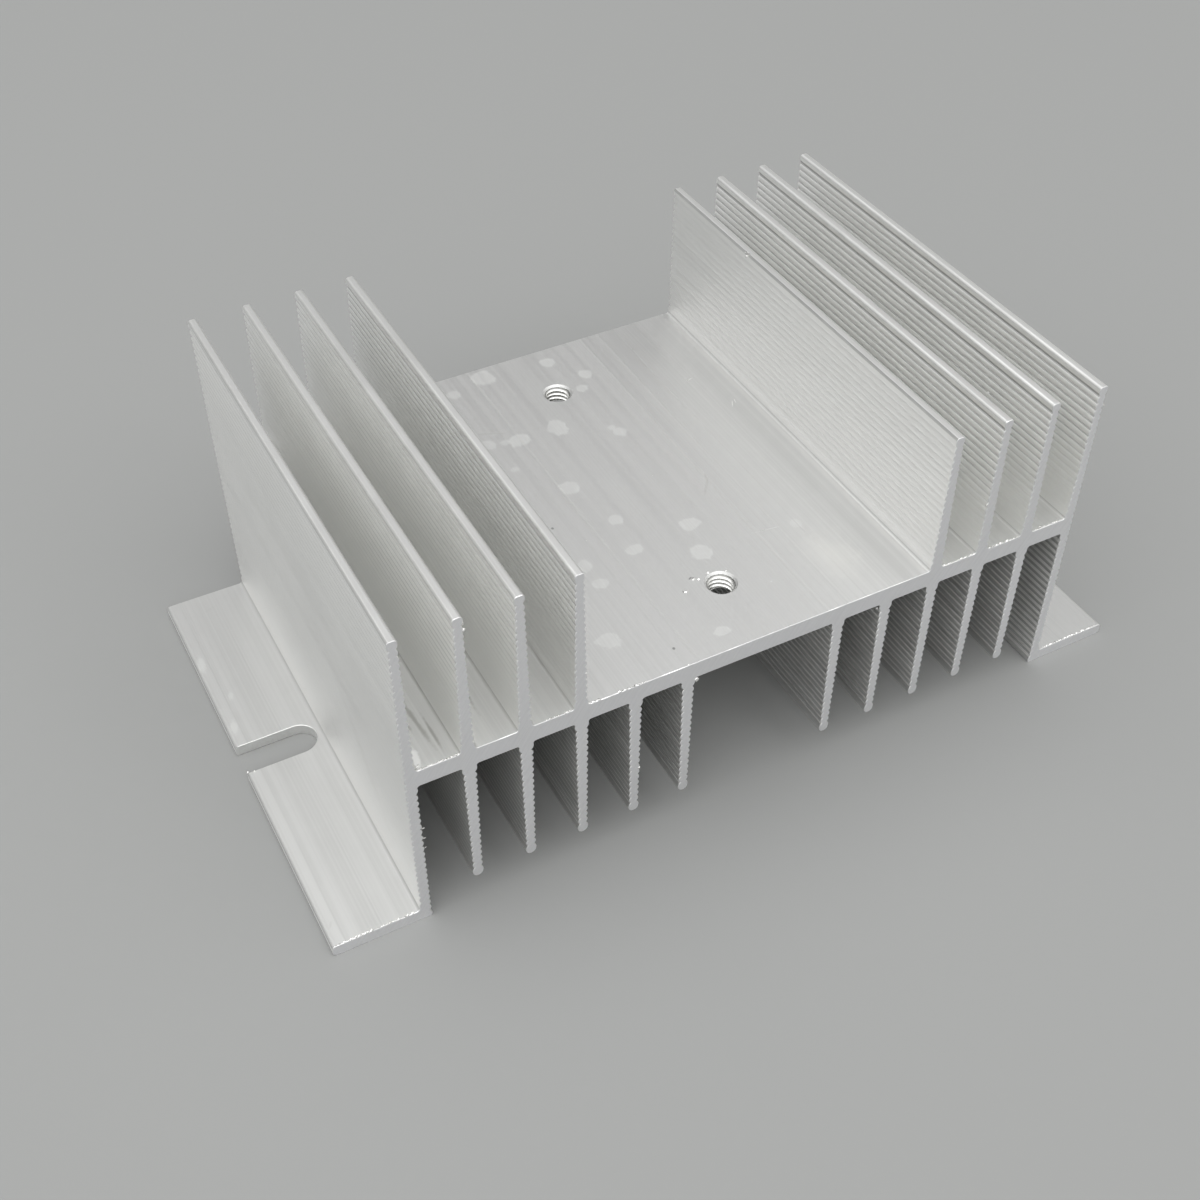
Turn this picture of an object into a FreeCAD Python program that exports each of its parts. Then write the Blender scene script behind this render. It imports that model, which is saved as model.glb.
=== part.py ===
import FreeCAD, Part
import math
import os

# Heat sink for a solid-state relay: one length of extruded aluminium, sawn off square.
# X runs across the section, Y along the extrusion and Z up, in millimetres.
# The origin lies on the plane that the feet stand on, in the middle of the width and of the length.

# Overall sizes
body_length = 70.0
overall_height = 50.0
wall_span = 100.0             # over the outer faces of the two walls
foot_reach = 12.0             # how far each foot stands out from its wall

# Walls, web and feet
wall_thickness = 1.6
wall_tip_thickness = 1.3
foot_thickness = 1.8
web_thickness = 2.7
web_underside_height = 25.4

# Fins
upper_fins_per_side = 3
lower_fins_per_side = 5
relay_channel_width = 51.2    # clear width between the innermost upper fins
centre_gap_width = 20.8       # clear width between the innermost lower fins
fin_root_thickness = 1.9
upper_fin_tip_thickness = 1.3
lower_fin_tip_thickness = 1.4
lower_fin_floor_gap = 4.1     # from the plane of the feet up to the lower fins' tips

# Corners
root_radius = 0.4             # where fins and walls meet the web
foot_root_radius = 0.5        # where each wall meets the top of its foot
foot_edge_radius = 0.5
upper_tip_radius = 0.4
wall_heel_radius = 0.15       # the nearly sharp corner inside each foot

# Fine ribs along the faces of the fins and walls
rib_pitch = 1.05
rib_depth = 0.2
rib_free_margin = 0.5         # plain metal between the ribs and the end of a face

# Two tapped holes for the relay's screws, M4 with 0.7 mm pitch, left at the tapping size
relay_screw_spacing = 47.6
tapping_diameter = 3.3
hole_mouth_diameter = 4.5

# One open slot in each foot
slot_width = 5.3
slot_wall_gap = 0.9           # metal left between the slot's round end and the wall

wall_outer_x = wall_span / 2
wall_centre_x = wall_outer_x - wall_thickness / 2
web_top_height = web_underside_height + web_thickness
foot_end_x = wall_outer_x + foot_reach


# The section is a list of corners (x, z, radius), and a radius of nothing is a sharp corner.
def ribbed_face(start, end, inward):
    # Corners of a face from start to end, with its ribs' crests on the straight line between them.
    run_x = end[0] - start[0]
    run_z = end[1] - start[1]
    face_length = math.hypot(run_x, run_z)
    first = (rib_free_margin + start[2]) / face_length
    last = 1 - (rib_free_margin + end[2]) / face_length
    rib_count = max(1, int((last - first) * face_length / rib_pitch))
    corners = []
    for step in range(2 * rib_count + 1):
        along = first + (last - first) * step / (2 * rib_count)
        depth = rib_depth * (step % 2)
        corners.append((start[0] + run_x * along + inward * depth, start[1] + run_z * along, 0))
    return [start] + corners + [end]


def fin(centre_x, root_z, tip_z, tip_thickness, tip_radius, way):
    # A tapered fin, followed from one root corner over its tip to the other one.
    # way is 1 where the outline meets the fin's left face first, and -1 for its right face.
    root = fin_root_thickness / 2
    tip = tip_thickness / 2
    near_face = ribbed_face((centre_x - way * root, root_z, root_radius),
                            (centre_x - way * tip, tip_z, tip_radius), way)
    far_face = ribbed_face((centre_x + way * tip, tip_z, tip_radius),
                           (centre_x + way * root, root_z, root_radius), -way)
    return near_face + far_face


def fin_centres(clear_width, fins_per_side):
    # Fins on the right-hand side, spaced evenly from the clear width to the wall.
    first = clear_width / 2 + fin_root_thickness / 2
    pitch = (wall_centre_x - first) / fins_per_side
    return [first + pitch * number for number in range(fins_per_side)]


def right_hand_section():
    # From the middle of the web's top, clockwise to the middle of its underside.
    corners = []
    for centre_x in fin_centres(relay_channel_width, upper_fins_per_side):
        corners += fin(centre_x, web_top_height, overall_height, upper_fin_tip_thickness,
                       upper_tip_radius, 1)
    corners += ribbed_face((wall_outer_x - wall_thickness, web_top_height, root_radius),
                           (wall_outer_x - wall_tip_thickness, overall_height, upper_tip_radius), 1)
    corners += ribbed_face((wall_outer_x, overall_height, upper_tip_radius),
                           (wall_outer_x, foot_thickness, foot_root_radius), -1)
    corners.append((foot_end_x, foot_thickness, foot_edge_radius))
    corners.append((foot_end_x, 0, foot_edge_radius))
    corners += ribbed_face((wall_outer_x - wall_thickness, 0, wall_heel_radius),
                           (wall_outer_x - wall_thickness, web_underside_height, root_radius), 1)
    for centre_x in reversed(fin_centres(centre_gap_width, lower_fins_per_side)):
        corners += fin(centre_x, web_underside_height, lower_fin_floor_gap, lower_fin_tip_thickness,
                       lower_fin_tip_thickness / 2, -1)
    return corners


def rounded_corner(before, corner, after):
    # The start, middle and end of the arc that rounds a corner, or the bare corner three times.
    point = FreeCAD.Vector(corner[0], 0, corner[1])
    if corner[2] == 0:
        return point, point, point
    back = (FreeCAD.Vector(before[0], 0, before[1]) - point).normalize()
    onward = (FreeCAD.Vector(after[0], 0, after[1]) - point).normalize()
    half_angle = back.getAngle(onward) / 2
    reach = corner[2] / math.tan(half_angle)
    middle_reach = corner[2] / math.sin(half_angle) - corner[2]
    middle = point + (back + onward).normalize() * middle_reach
    return point + back * reach, middle, point + onward * reach


def section_face():
    right = right_hand_section()
    left = [(-x, z, radius) for x, z, radius in reversed(right)]
    corners = right + left
    following = corners[1:] + corners[:1]
    preceding = corners[-1:] + corners[:-1]
    rounded = [rounded_corner(*three) for three in zip(preceding, corners, following)]
    edges = []
    pen = rounded[-1][2]
    for start, middle, finish in rounded:
        edges.append(Part.LineSegment(pen, start).toShape())
        if start != finish:
            edges.append(Part.Arc(start, middle, finish).toShape())
        pen = finish
    return Part.Face(Part.Wire(edges))


def tapped_hole(centre_y):
    # The drilled hole with its chamfered mouth on the relay's side, as the solid to take away.
    axis = FreeCAD.Vector(0, 0, 1)
    overrun = web_thickness
    drill = Part.makeCylinder(tapping_diameter / 2, web_thickness + 2 * overrun,
                              FreeCAD.Vector(0, centre_y, web_underside_height - overrun), axis)
    mouth_radius = hole_mouth_diameter / 2
    mouth = Part.makeCone(0, 2 * mouth_radius, 2 * mouth_radius,
                          FreeCAD.Vector(0, centre_y, web_top_height - mouth_radius), axis)
    return drill.fuse(mouth)


def foot_slot(side):
    # A slot across one foot with a round inner end, open at the foot's outer edge.
    radius = slot_width / 2
    round_centre_x = wall_outer_x + slot_wall_gap + radius
    overrun = foot_thickness
    height = foot_thickness + 2 * overrun
    run = foot_end_x - round_centre_x + overrun
    end = Part.makeCylinder(radius, height, FreeCAD.Vector(round_centre_x, 0, -overrun))
    channel = Part.makeBox(run, slot_width, height, FreeCAD.Vector(round_centre_x, -radius, -overrun))
    slot = end.fuse(channel)
    if side < 0:
        slot = slot.mirror(FreeCAD.Vector(0, 0, 0), FreeCAD.Vector(1, 0, 0))
    return slot


def heat_sink():
    extrusion = section_face().extrude(FreeCAD.Vector(0, body_length, 0))
    extrusion.translate(FreeCAD.Vector(0, -body_length / 2, 0))
    tools = [tapped_hole(-relay_screw_spacing / 2), tapped_hole(relay_screw_spacing / 2)]
    tools += [foot_slot(1), foot_slot(-1)]
    return extrusion.cut(tools)


os.makedirs("parts", exist_ok=True)
body = heat_sink()
body.exportStep("parts/heat_sink_body.step")
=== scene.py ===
import math
import random
import bpy
import bmesh
from mathutils import Matrix, Vector


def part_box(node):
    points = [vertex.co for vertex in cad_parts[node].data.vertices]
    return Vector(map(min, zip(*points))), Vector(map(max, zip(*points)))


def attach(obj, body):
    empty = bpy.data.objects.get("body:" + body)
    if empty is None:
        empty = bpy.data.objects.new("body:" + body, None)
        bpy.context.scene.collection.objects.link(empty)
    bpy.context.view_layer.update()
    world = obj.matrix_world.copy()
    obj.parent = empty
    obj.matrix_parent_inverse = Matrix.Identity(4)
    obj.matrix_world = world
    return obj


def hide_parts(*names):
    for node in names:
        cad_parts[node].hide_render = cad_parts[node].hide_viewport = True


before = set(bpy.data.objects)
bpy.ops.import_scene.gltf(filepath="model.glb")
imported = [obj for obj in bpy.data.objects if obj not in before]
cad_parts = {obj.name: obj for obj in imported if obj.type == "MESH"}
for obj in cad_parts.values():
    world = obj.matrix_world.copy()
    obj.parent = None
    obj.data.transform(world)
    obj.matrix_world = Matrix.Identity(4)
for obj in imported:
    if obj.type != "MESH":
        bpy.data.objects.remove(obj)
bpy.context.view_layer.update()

mm = 0.001
nodeName = "heat_sink_body"
lowCorner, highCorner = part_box(nodeName)
frontY = lowCorner.y  # the sawn end towards the camera
rearY = highCorner.y
tipZ = highCorner.z
webTopZ = 28.1 * mm
webUnderZ = 25.4 * mm
footTopZ = 1.8 * mm
screwY = 23.8 * mm  # the tapped holes' distance from the middle


# Small helpers

def pickOnly(piece):
    bpy.ops.object.select_all(action="DESELECT")
    piece.select_set(True)
    bpy.context.view_layer.objects.active = piece


def pickEdges(piece, wanted):
    # selects the edges that pass a test, then leaves the piece in edit mode
    pickOnly(piece)
    bpy.ops.object.mode_set(mode="EDIT")
    bpy.ops.mesh.select_mode(type="EDGE")
    bpy.ops.mesh.select_all(action="DESELECT")
    work = bmesh.from_edit_mesh(piece.data)
    work.normal_update()
    for edge in work.edges:
        if wanted(edge):
            edge.select_set(True)
    bmesh.update_edit_mesh(piece.data)


def pickVerts(piece, wanted):
    pickOnly(piece)
    bpy.ops.object.mode_set(mode="EDIT")
    bpy.ops.mesh.select_mode(type="VERT")
    bpy.ops.mesh.select_all(action="DESELECT")
    work = bmesh.from_edit_mesh(piece.data)
    for vert in work.verts:
        if wanted(vert.co):
            vert.select_set(True)
    bmesh.update_edit_mesh(piece.data)


def leaveEdit():
    bpy.ops.object.mode_set(mode="OBJECT")


def settle(piece):
    # puts the place, turn and size into the mesh, so that the object sits at the origin
    pickOnly(piece)
    bpy.ops.object.transform_apply(location=True, rotation=True, scale=True)


def finishPiece(piece, name):
    piece.name = name
    piece.data.name = name
    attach(piece, "root")


def link(tree, source, target):
    tree.links.new(source, target)


def mathNode(tree, operation, first, second=None, clamp=False):
    # a Math node whose inputs are numbers or other nodes' outputs
    made = tree.nodes.new("ShaderNodeMath")
    made.operation = operation
    made.use_clamp = clamp
    for place, value in enumerate((first, second)):
        if value is None:
            continue
        if isinstance(value, (int, float)):
            made.inputs[place].default_value = value
        else:
            link(tree, value, made.inputs[place])
    return made.outputs["Value"]


# Camera, floor and light

cameraSettings = {
    "azimuth": -27.99,
    "elevation": 43.4,
    "distance": 216.7 * mm,
    "target": (-12.62 * mm, -13.60 * mm, 22.0 * mm),
    "lens": 47.92,
    "sensor": 36.0,
}

stageSettings = {
    "floorSize": 6.0,
    "floorDrop": 0.02 * mm,  # keeps the floor off the plane of the feet
    "floorColor": (0.314, 0.318, 0.314),
    "floorRoughness": 0.9,
    "floorSpecular": 0.1,
    "skyColor": (1, 1, 0.995, 1),
    "skyBase": 0.06,
    "glossyBounces": 10,  # light crosses the narrow bays many times
}

skyGlow = {
    # direction that the sky is brighter in: how much
    (0, -1, 0.3): 0.73,
    (-1, 0, 0.3): 0.69,
    (1, 0, 0.3): 0.50,
}

lampSettings = {
    # name: (place, aim, width, height, watts)
    "overheadSoftbox": ((-0.15, -0.15, 1.1), (0.0, 0.0, 0.0), 2.4, 2.4, 19.8),
    "edgeLamp": ((0.41, -0.82, 0.77), (0.0, 0.0, 0.02), 0.12, 0.12, 0.3),
}


def directionFrom(azimuth, elevation):
    a = math.radians(azimuth)
    e = math.radians(elevation)
    return Vector((math.sin(a) * math.cos(e), -math.cos(a) * math.cos(e), math.sin(e)))


def addCamera():
    back = directionFrom(cameraSettings["azimuth"], cameraSettings["elevation"])
    place = Vector(cameraSettings["target"]) + back * cameraSettings["distance"]
    bpy.ops.object.camera_add(location=place)
    camera = bpy.context.object
    camera.rotation_euler = (-back).to_track_quat("-Z", "Y").to_euler()
    camera.data.lens = cameraSettings["lens"]
    camera.data.sensor_width = cameraSettings["sensor"]
    camera.data.clip_start = 0.01
    bpy.context.scene.camera = camera


def addFloor():
    bpy.ops.mesh.primitive_plane_add(size=stageSettings["floorSize"], location=(0, 0, 0))
    floor = bpy.context.object
    floor.name = "floor"
    floor.data.transform(Matrix.Translation((0, 0, lowCorner.z - stageSettings["floorDrop"])))
    paint = bpy.data.materials.new("plainFloor")
    paint.use_nodes = True
    shader = paint.node_tree.nodes["Principled BSDF"]
    shader.inputs["Base Color"].default_value = (*stageSettings["floorColor"], 1)
    shader.inputs["Roughness"].default_value = stageSettings["floorRoughness"]
    shader.inputs["Specular IOR Level"].default_value = stageSettings["floorSpecular"]
    floor.data.materials.append(paint)


def addSky():
    # a dim dome with a soft glow towards each of a few directions
    world = bpy.data.worlds.new("studioSky")
    world.use_nodes = True
    tree = world.node_tree
    view = tree.nodes.new("ShaderNodeTexCoord").outputs["Generated"]
    total = stageSettings["skyBase"]
    for way, strength in skyGlow.items():
        facing = tree.nodes.new("ShaderNodeVectorMath")
        facing.operation = "DOT_PRODUCT"
        link(tree, view, facing.inputs[0])
        facing.inputs[1].default_value = Vector(way).normalized()
        glow = mathNode(tree, "MULTIPLY", mathNode(tree, "MAXIMUM", facing.outputs["Value"], 0), strength)
        total = mathNode(tree, "ADD", total, glow)
    background = tree.nodes["Background"]
    link(tree, total, background.inputs["Strength"])
    background.inputs["Color"].default_value = stageSettings["skyColor"]
    bpy.context.scene.world = world
    bpy.context.scene.cycles.glossy_bounces = stageSettings["glossyBounces"]


def addLamps():
    for name, (place, aim, width, height, watts) in lampSettings.items():
        bpy.ops.object.light_add(type="AREA", location=place)
        lamp = bpy.context.object
        lamp.name = name
        lamp.data.shape = "RECTANGLE"
        lamp.data.size = width
        lamp.data.size_y = height
        lamp.data.energy = watts
        lamp.rotation_euler = (Vector(aim) - Vector(place)).to_track_quat("-Z", "Y").to_euler()


addCamera()
addFloor()
addSky()
addLamps()
bpy.context.scene.view_settings.view_transform = "Standard"
print("camera, floor and lamps are in place")


# Node groups that the finishes share

def newGroup(name, inputs, outputs):
    group = bpy.data.node_groups.new(name, "ShaderNodeTree")
    for socketName, kind, value in inputs:
        socket = group.interface.new_socket(socketName, in_out="INPUT", socket_type=kind)
        socket.default_value = value
    for socketName, kind in outputs:
        group.interface.new_socket(socketName, in_out="OUTPUT", socket_type=kind)
    return group, group.nodes.new("NodeGroupInput"), group.nodes.new("NodeGroupOutput")


def noiseNode(tree, vector, scale, detail=2.0, roughness=0.5):
    made = tree.nodes.new("ShaderNodeTexNoise")
    made.inputs["Scale"].default_value = scale
    made.inputs["Detail"].default_value = detail
    made.inputs["Roughness"].default_value = roughness
    link(tree, vector, made.inputs["Vector"])
    return made.outputs["Fac"]


def mappingNode(tree, vector, scale=(1, 1, 1), turn=(0, 0, 0)):
    made = tree.nodes.new("ShaderNodeMapping")
    made.inputs["Scale"].default_value = scale
    made.inputs["Rotation"].default_value = turn
    link(tree, vector, made.inputs["Vector"])
    return made.outputs["Vector"]


def rangeNode(tree, value, low, high, outLow=0.0, outHigh=1.0, smooth=False):
    made = tree.nodes.new("ShaderNodeMapRange")
    made.interpolation_type = "SMOOTHSTEP" if smooth else "LINEAR"
    link(tree, value, made.inputs["Value"])
    made.inputs["From Min"].default_value = low
    made.inputs["From Max"].default_value = high
    made.inputs["To Min"].default_value = outLow
    made.inputs["To Max"].default_value = outHigh
    return made.outputs["Result"]


dieLineSettings = {
    # stretch along the length, scale, detail and roughness of the noise, and the range that is used
    "Band": (0.006, 260, 3, 0.6, 0.3, 0.7),
    "Line": (0.002, 1300, 2, 0.65, 0.38, 0.62),
}


def buildStreaks():
    # die lines that run the whole length, from broad bands down to hairlines
    group, given, result = newGroup(
        "dieLines",
        [("Vector", "NodeSocketVector", (0, 0, 0))],
        [("Band", "NodeSocketFloat"), ("Line", "NodeSocketFloat"), ("Height", "NodeSocketFloat")])
    noises = {}
    for name, (stretch, scale, detail, roughness, low, high) in dieLineSettings.items():
        drawnOut = mappingNode(group, given.outputs["Vector"], (1, stretch, 1))
        noises[name] = noiseNode(group, drawnOut, scale, detail, roughness)
        link(group, rangeNode(group, noises[name], low, high), result.inputs[name])
    height = mathNode(group, "ADD", noises["Line"], mathNode(group, "MULTIPLY", noises["Band"], 0.5))
    link(group, height, result.inputs["Height"])
    return group


cloudSettings = {
    "stretch": (1, 0.6, 1),
    "noise": (70, 4, 0.55),  # scale, detail and roughness
    "range": (0.35, 0.7),
    "speckScale": 260,
    "speckChance": (0.93, 0.94),  # only the few cells above it hold a speck
    "speckEdge": (0.03, 0.07),
}


def buildCloud():
    # faint blotches of oxide and handling, and a few bright specks
    group, given, result = newGroup(
        "oxideCloud",
        [("Vector", "NodeSocketVector", (0, 0, 0))],
        [("Cloud", "NodeSocketFloat"), ("Speck", "NodeSocketFloat")])
    vector = given.outputs["Vector"]
    cloud = noiseNode(group, mappingNode(group, vector, cloudSettings["stretch"]), *cloudSettings["noise"])
    link(group, rangeNode(group, cloud, *cloudSettings["range"], smooth=True), result.inputs["Cloud"])
    cells = group.nodes.new("ShaderNodeTexVoronoi")
    cells.inputs["Scale"].default_value = cloudSettings["speckScale"]
    link(group, vector, cells.inputs["Vector"])
    gate = group.nodes.new("ShaderNodeTexWhiteNoise")
    link(group, cells.outputs["Position"], gate.inputs["Vector"])
    chosen = rangeNode(group, gate.outputs["Value"], *cloudSettings["speckChance"])
    dot = rangeNode(group, cells.outputs["Distance"], *cloudSettings["speckEdge"], 1.0, 0.0)
    link(group, mathNode(group, "MULTIPLY", chosen, dot), result.inputs["Speck"])
    return group


def buildMark():
    # how far a place is from the middle of one mark, as a share of the mark's own half sizes
    group, given, result = newGroup(
        "markShare",
        [("Vector", "NodeSocketVector", (0, 0, 0)), ("Centre", "NodeSocketVector", (0, 0, 0)),
         ("Turn", "NodeSocketVector", (0, 0, 0)), ("Size", "NodeSocketVector", (0.001, 0.001, 0.001))],
        [("Share", "NodeSocketFloat")])
    local = group.nodes.new("ShaderNodeMapping")
    local.vector_type = "TEXTURE"
    sockets = {"Vector": "Vector", "Centre": "Location", "Turn": "Rotation", "Size": "Scale"}
    for name, socket in sockets.items():
        link(group, given.outputs[name], local.inputs[socket])
    away = group.nodes.new("ShaderNodeVectorMath")
    away.operation = "LENGTH"
    link(group, local.outputs["Vector"], away.inputs[0])
    link(group, away.outputs["Value"], result.inputs["Share"])
    return group


blotSettings = {
    "noise": (800, 3, 0.6),  # scale, detail and roughness
    "wobble": (0.3, 0.7, 0.74, 1.3),  # range of the noise, then of its factor on the outline
    "rim": (0.6, 0.9),  # where the rim sets in, as shares of the half size
}


def buildBlot():
    # an area with an uneven outline and a slightly stronger rim
    group, given, result = newGroup(
        "unevenBlot",
        [("Vector", "NodeSocketVector", (0, 0, 0)), ("Share", "NodeSocketFloat", 1.0),
         ("Softness", "NodeSocketFloat", 0.2)],
        [("Mask", "NodeSocketFloat"), ("Rim", "NodeSocketFloat")])
    unevenness = noiseNode(group, given.outputs["Vector"], *blotSettings["noise"])
    wobble = rangeNode(group, unevenness, *blotSettings["wobble"])
    share = mathNode(group, "MULTIPLY", given.outputs["Share"], wobble)
    edge = mathNode(group, "DIVIDE", mathNode(group, "SUBTRACT", 1.0, share), given.outputs["Softness"])
    blot = rangeNode(group, edge, 0.0, 1.0, smooth=True)
    rim = mathNode(group, "MULTIPLY", blot, rangeNode(group, share, *blotSettings["rim"]))
    link(group, blot, result.inputs["Mask"])
    link(group, rim, result.inputs["Rim"])
    return group


streaksGroup = buildStreaks()
cloudGroup = buildCloud()
markGroup = buildMark()
blotGroup = buildBlot()


def placeGroup(tree, group, vector):
    made = tree.nodes.new("ShaderNodeGroup")
    made.node_tree = group
    link(tree, vector, made.inputs["Vector"])
    return made


def newFinish(name):
    # a bare metal, with its tree, its shader and the place on the piece that patterns read
    material = bpy.data.materials.new(name)
    material.use_nodes = True
    tree = material.node_tree
    shader = tree.nodes["Principled BSDF"]
    shader.inputs["Metallic"].default_value = 1.0
    place = tree.nodes.new("ShaderNodeTexCoord").outputs["Object"]
    return material, tree, shader, place


def greyFrom(tree, value, dark, light):
    # a neutral colour between two tones, picked by a value from 0 to 1
    made = tree.nodes.new("ShaderNodeMix")
    made.data_type = "RGBA"
    link(tree, value, made.inputs["Factor"])
    made.inputs[6].default_value = (*dark, 1)
    made.inputs[7].default_value = (*light, 1)
    return made.outputs[2]


def bumpFrom(tree, height, shader, strength, distance):
    made = tree.nodes.new("ShaderNodeBump")
    made.inputs["Strength"].default_value = strength
    made.inputs["Distance"].default_value = distance
    link(tree, height, made.inputs["Height"])
    link(tree, made.outputs["Normal"], shader.inputs["Normal"])


# Finish of the faces that came out of the die

dieFinish = {
    "shade": 1.0,  # share of the full tone; below 1 it is painted shade
    "upperShade": None,  # painted shade: share of the full tone near the fins' tips, where it differs
    "upperRange": (32 * mm, 44 * mm),  # the heights over which it sets in
    "darkTone": (0.945, 0.947, 0.933),
    "lightTone": (0.992, 0.994, 0.981),
    "roughness": (0.44, 0.58),
    "bandShare": 0.40,
    "lineShare": 0.32,
    "cloudShare": 0.26,
    "bumpDistance": 0.012 * mm,
    "streaks": [],
    "layers": [],
}

stainTone = (0.97, 0.99, 0.965)
warmTone = (0.99, 0.98, 0.93)
# smudges, and also a painted shade line on the left wall
smudgeAndShadeTone = (0.60, 0.60, 0.59)
scuffTone = (0.34, 0.335, 0.31)
# scratches and specks, and also a painted highlight on the left wall
scratchAndHighlightTone = (0.99, 0.99, 0.98)
nickTone = (0.25, 0.25, 0.25)

webStreaks = [
    # a stretch of the width, then the x, half width and strength of each line in it
    (-22.0, -8.0, [(-18.5, 2.6, 0.12), (-15.0, 0.3, 0.25), (-13.7, 0.3, 0.2), (-12.1, 0.28, 0.35),
                   (-10.6, 0.6, 0.15), (-9.9, 0.2, -0.35)]),
    (-6.0, 11.4, [(-3.2, 2.4, -0.12), (0.9, 0.4, 0.3), (6.5, 0.8, 0.2), (8.3, 1.5, -0.3), (9.3, 0.18, -0.55),
                  (9.7, 0.2, 0.5), (10.5, 0.7, 0.2)]),
    (11.4, 26.0, [(12.45, 0.18, -0.45), (12.8, 0.25, 0.25), (15.4, 0.16, -0.4), (16.2, 3.4, 0.22),
                  (18.9, 0.25, 0.25), (21.8, 3.2, -0.22), (24.7, 0.45, 0.35)]),
]

footStreaks = [
    (-62.5, -50.0, [(-60.1, 0.16, -0.5), (-57.7, 0.16, -0.2), (-56.3, 1.5, -0.3), (-55.15, 0.16, -0.4),
                    (-53.0, 1.2, 0.15)]),
    (50.0, 62.5, [(54.4, 0.2, -0.35), (57.2, 1.4, -0.25), (59.6, 0.9, 0.15)]),
]

waterMarks = [
    # x, y and half sizes in mm of the dried drops on the web, y from the middle
    (-8.3, 32.6, 1.9, 1.8), (2.2, 31.7, 1.3, 1.2), (-14.0, 30.6, 1.1, 1.1), (5.9, 26.2, 1.1, 1.1),
    (3.8, 23.2, 1.0, 0.9), (-14.5, 17.2, 1.1, 1.3), (-10.0, 16.2, 1.7, 1.5), (-3.8, 16.2, 1.5, 1.9),
    (3.8, 11.0, 1.1, 1.0), (3.2, 12.5, 0.6, 0.5), (-13.6, 10.3, 0.6, 0.5), (-8.7, 2.8, 1.4, 1.4),
    (-6.2, -6.2, 1.2, 1.0), (-14.4, -12.6, 0.9, 1.2), (-6.9, -12.7, 1.3, 1.0), (2.4, -11.7, 1.5, 1.2),
    (-14.2, -16.5, 1.2, 1.1), (0.7, -17.5, 1.6, 1.6), (15.2, -18.4, 0.8, 0.8), (-18.2, -26.4, 1.5, 1.4),
    (-4.6, -31.6, 1.1, 0.9), (-12.2, 16.6, 0.8, 0.6),
]

# Each layer is a tone, its strength, that of its rim, softness, change of roughness, and marks.
# A mark is a centre, a turn in degrees and half sizes in mm.
webLayers = [
    (warmTone, 0.22, 0.0, 0.95, 0.0, [((16.0, -26.0, 28.1), (0, 0, 10), (4.5, 7.0, 1.0))]),
    (smudgeAndShadeTone, 0.10, 0.0, 0.9, 0.03, [((16.0, 0.3, 28.1), (0, 0, 42), (5.5, 1.8, 1.0)),
                                        ((-3.0, -3.0, 28.1), (0, 0, 90), (9.0, 2.5, 1.0))]),
    (stainTone, 0.10, 0.09, 0.1, 0.07, [((x, y, 28.1), (0, 0, 0), (wide, long, 0.6))
                                        for x, y, wide, long in waterMarks]),
    (scuffTone, 0.24, 0.0, 0.6, 0.1, [((8.6, -5.6, 28.1), (0, 0, 52), (2.6, 0.28, 1.0)),
                                      ((9.6, -3.6, 28.1), (0, 0, 75), (0.9, 0.22, 1.0)),
                                      ((-13.0, 19.4, 28.1), (0, 0, -24), (2.4, 0.3, 1.0))]),
    (scratchAndHighlightTone, 0.85, 0.0, 0.6, -0.2, [((19.3, 17.5, 28.1), (0, 0, 12), (0.75, 0.14, 0.5)),
                                         ((3.0, -0.1, 28.1), (0, 0, 0), (0.17, 0.17, 0.5)),
                                         ((-11.8, -8.1, 28.1), (0, 0, 0), (0.16, 0.16, 0.5)),
                                         ((21.9, 9.2, 28.1), (0, 0, 60), (0.9, 0.1, 0.5)),
                                         ((22.6, 9.6, 28.1), (0, 0, 75), (0.7, 0.08, 0.5)),
                                         ((13.5, 16.6, 28.1), (0, 0, 0), (0.12, 0.12, 0.5)),
                                         ((15.6, 28.6, 28.1), (0, 0, 100), (0.35, 0.1, 0.5)),
                                         ((11.0, -17.6, 28.1), (0, 0, -8), (2.4, 0.07, 0.5))]),
    (nickTone, 0.8, 0.0, 0.4, 0.1, [((-11.6, -31.5, 28.1), (0, 0, 0), (0.24, 0.28, 0.3)),
                                    ((-14.7, -3.7, 28.1), (0, 0, 0), (0.2, 0.24, 0.3)),
                                    ((-3.2, -21.2, 28.1), (0, 0, 30), (0.34, 0.14, 0.3)),
                                    ((-5.3, -23.0, 28.1), (0, 0, 80), (0.3, 0.1, 0.3))]),
]

footLayers = [
    (stainTone, 0.2, 0.1, 0.5, 0.08, [((-61.1, 20.6, 1.8), (0, 0, 85), (2.2, 0.7, 0.6)),
                                      ((-60.9, 6.4, 1.8), (0, 0, 80), (1.6, 0.6, 0.6)),
                                      ((-59.3, 12.5, 1.8), (0, 0, 70), (1.0, 0.5, 0.6))]),
    (smudgeAndShadeTone, 0.16, 0.0, 0.9, 0.05, [((-60.3, 30.0, 1.8), (0, 0, 80), (5.0, 1.0, 0.6)),
                                        ((-56.5, 31.4, 1.8), (0, 0, 20), (1.6, 0.5, 0.6))]),
    (smudgeAndShadeTone, 0.45, 0.0, 0.7, 0.05, [((-60.9, -31.6, 1.8), (0, 0, 60), (0.7, 0.2, 0.6))]),
]

wallLayers = [
    (smudgeAndShadeTone, 0.12, 0.0, 0.95, 0.03, [((-50.0, -16.0, 19.0), (47, 0, 0), (4.0, 19.0, 2.2)),
                                         ((-50.0, -7.5, 8.6), (50, 0, 0), (4.0, 5.0, 1.6))]),
    # a painted shade line just under the top outer edge, towards the rear
    (smudgeAndShadeTone, 0.6, 0.0, 0.6, 0.05, [((-50.0, 24.5, 49.25), (0, 0, 0), (1.0, 11.5, 0.22))]),
    # the first mark is a painted highlight along the top outer edge; the second is a scratch
    (scratchAndHighlightTone, 0.8, 0.0, 0.6, -0.15, [((-50.0, 10.8, 49.45), (0, 0, 0), (1.0, 4.2, 0.18)),
                                         ((-50.0, 9.9, 43.0), (-38, 0, 0), (0.4, 0.5, 0.1))]),
]

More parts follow.
